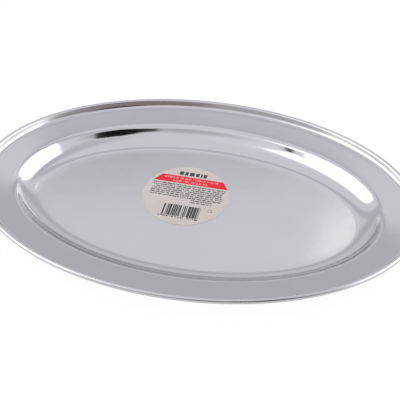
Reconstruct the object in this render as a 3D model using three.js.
// An oval serving platter, pressed from one sheet of polished stainless steel, with a round paper
// label stuck on its floor. Millimetres, +Z up. The origin is under the middle of the floor, on the
// surface that the platter stands on, and X runs along its long axis.
import * as THREE from "three";

// The platter, over all.
const TRAY_LENGTH = 300;
const TRAY_WIDTH = 200;
const TRAY_HEIGHT = 16.9;
const SHEET = 0.6;

// The well. Its floor is flat, and a broad radius leads up into a wall with a short straight stretch.
const WELL_RADIUS = 19;
const WALL_LENGTH = 1.7;

// The flange, which falls gently inwards to the knuckle at the top of the wall.
const KNUCKLE_RADIUS = 6;
const FLANGE_WIDTH = 16.1;
const FLANGE_SLOPE = 7;

// The raised edge: a lip that rises from the flange and ends in a roll, curled outwards and under.
const LIP_HEIGHT = 4.5;
const LIP_SLOPE = 70;
const LIP_FILLET = 3;
const ROLL_RADIUS = 1.7;
const CURL_GAP = 0.4;

// The label, stuck left of the floor's middle and behind it, by these shares of the room to its edge.
const LABEL_DIAMETER = 60;
const LABEL_LEFT_SHARE = 0.118;
const LABEL_BACK_SHARE = 0.367;
const ADHESIVE = 0.04;
const PAPER = 0.1;

// How finely round shapes are cut: steps round the oval and the label, and an arc's largest error.
const OVAL_STEPS = 80;
const LABEL_STEPS = 64;
const ARC_ERROR = 0.03;

const RIGHT_ANGLE = 90;
const FULL_TURN = 360;
const sin = (degrees) => Math.sin(THREE.MathUtils.degToRad(degrees));
const cos = (degrees) => Math.cos(THREE.MathUtils.degToRad(degrees));

// The section is drawn on the platter's short axis, from the middle outwards, along the upper face.
// An arc's rise and run follow from its radius and the slopes at its two ends.
const arcRise = (radius, low, high) => radius * (cos(low) - cos(high));
const arcRun = (radius, low, high) => radius * (sin(high) - sin(low));

// The straight stretch of the lip makes up the lip's height.
const lipArcs = arcRise(LIP_FILLET, FLANGE_SLOPE, LIP_SLOPE) + arcRise(ROLL_RADIUS, 0, LIP_SLOPE);
const lipLength = (LIP_HEIGHT - lipArcs) / sin(LIP_SLOPE);
const flangeLength = FLANGE_WIDTH / cos(FLANGE_SLOPE);

// The wall's slope makes up the whole height. It is the slope at which the well's arc, the straight
// stretch and the knuckle's arc rise together by what the flange and the lip leave.
const wallRise = TRAY_HEIGHT - SHEET - LIP_HEIGHT - flangeLength * sin(FLANGE_SLOPE);
const bothRadii = WELL_RADIUS + KNUCKLE_RADIUS;
const riseOverCentres = wallRise - WELL_RADIUS - KNUCKLE_RADIUS * cos(FLANGE_SLOPE);
const slopeToCentres = Math.asin(riseOverCentres / Math.hypot(bothRadii, WALL_LENGTH));
const wallSlope = THREE.MathUtils.radToDeg(Math.atan2(bothRadii, WALL_LENGTH) + slopeToCentres);

// The floor takes the width that is left.
const wellRun = arcRun(WELL_RADIUS, 0, wallSlope) + WALL_LENGTH * cos(wallSlope);
const flangeRun = arcRun(KNUCKLE_RADIUS, FLANGE_SLOPE, wallSlope) + FLANGE_WIDTH;
const lipRun = arcRun(LIP_FILLET, FLANGE_SLOPE, LIP_SLOPE) + lipLength * cos(LIP_SLOPE);
const rollRun = arcRun(ROLL_RADIUS, 0, LIP_SLOPE) + ROLL_RADIUS;
const floorHalfWidth = TRAY_WIDTH / 2 - wellRun - flangeRun - lipRun - rollRun;

// The floor is longer than it is wide by as much as the platter is.
const floorHalfLength = floorHalfWidth + (TRAY_LENGTH - TRAY_WIDTH) / 2;
const labelLeft = LABEL_LEFT_SHARE * (floorHalfLength - LABEL_DIAMETER / 2);
const labelBack = LABEL_BACK_SHARE * (floorHalfWidth - LABEL_DIAMETER / 2);

// The roll turns on past its top until the sheet's end is CURL_GAP short of the lip's outer face.
const curlReach = (ROLL_RADIUS - SHEET - CURL_GAP) / ROLL_RADIUS;
const rollTurn = FULL_TURN - LIP_SLOPE - THREE.MathUtils.radToDeg(Math.acos(curlReach));

// Follows the upper face from the middle of the floor, and keeps each station's place and heading.
class Section {
  constructor(height) {
    this.stations = [];
    this.at = new THREE.Vector2(0, height);
    this.heading = 0;
    this.mark();
  }

  mark() {
    this.stations.push({ at: this.at.clone(), heading: this.heading });
  }

  line(length) {
    this.at.x += length * cos(this.heading);
    this.at.y += length * sin(this.heading);
    this.mark();
  }

  // Turns by so many degrees, up if positive, in steps that keep to ARC_ERROR.
  arc(radius, turn) {
    const largestStep = THREE.MathUtils.radToDeg(2 * Math.acos(1 - ARC_ERROR / radius));
    const steps = Math.ceil(Math.abs(turn) / largestStep);
    const chord = 2 * radius * sin(Math.abs(turn) / steps / 2);
    for (let i = 0; i < steps; i += 1) {
      const along = this.heading + turn / steps / 2;
      this.at.x += chord * cos(along);
      this.at.y += chord * sin(along);
      this.heading += turn / steps;
      this.mark();
    }
  }

  // The closed outline: out along the upper face, round the sheet's end, and back a sheet's
  // thickness below it.
  outline() {
    const upper = this.stations.map(({ at }) => at);
    const lower = this.stations.map(
      ({ at, heading }) => new THREE.Vector2(at.x + SHEET * sin(heading), at.y - SHEET * cos(heading)),
    );
    return [...lower, ...upper.reverse()];
  }
}

function traySection() {
  const section = new Section(SHEET);
  section.line(floorHalfWidth);
  section.arc(WELL_RADIUS, wallSlope);
  section.line(WALL_LENGTH);
  section.arc(KNUCKLE_RADIUS, FLANGE_SLOPE - wallSlope);
  section.line(flangeLength);
  section.arc(LIP_FILLET, LIP_SLOPE - FLANGE_SLOPE);
  section.line(lipLength);
  // The roll is cut at its top and at its outermost point, so that both lie on the outline.
  section.arc(ROLL_RADIUS, -LIP_SLOPE);
  section.arc(ROLL_RADIUS, -RIGHT_ANGLE);
  section.arc(ROLL_RADIUS, RIGHT_ANGLE - rollTurn);
  return section.outline();
}

// Turns the section about +Z, then draws each ring out along X. Rings outside the floor all gain the
// same length, so that the flange and the wall are as wide at the ends as at the sides, and the
// floor's own rings gain in proportion.
function trayGeometry() {
  const geometry = new THREE.LatheGeometry(traySection(), OVAL_STEPS).rotateX(Math.PI / 2);
  const gain = floorHalfLength - floorHalfWidth;
  const position = geometry.getAttribute("position");
  for (let i = 0; i < position.count; i += 1) {
    const ring = Math.hypot(position.getX(i), position.getY(i));
    position.setX(i, position.getX(i) * (1 + gain / Math.max(ring, floorHalfWidth)));
  }
  geometry.computeVertexNormals();
  return geometry;
}

function labelLayer(thickness) {
  const radius = LABEL_DIAMETER / 2;
  return new THREE.CylinderGeometry(radius, radius, thickness, LABEL_STEPS).rotateX(Math.PI / 2);
}

function finish(color, roughness, metalness) {
  return new THREE.MeshStandardMaterial({ color, roughness, metalness });
}

function named(name, geometry, material) {
  const mesh = new THREE.Mesh(geometry, material);
  mesh.name = name;
  return mesh;
}

const tray = named("tray_pressing", trayGeometry(), finish(0xc4c3ca, 0.18, 1));

const labelAdhesive = named("label_adhesive", labelLayer(ADHESIVE), finish(0xe6dfc8, 0.4, 0));
labelAdhesive.position.z = ADHESIVE / 2;

const labelPaper = named("label_paper", labelLayer(PAPER), finish(0xd6cdca, 0.7, 0));
labelPaper.position.z = ADHESIVE + PAPER / 2;

const label = new THREE.Group();
label.position.set(-labelLeft, labelBack, SHEET);
label.add(labelAdhesive, labelPaper);

const platter = new THREE.Group();
platter.add(tray, label);

export default platter;
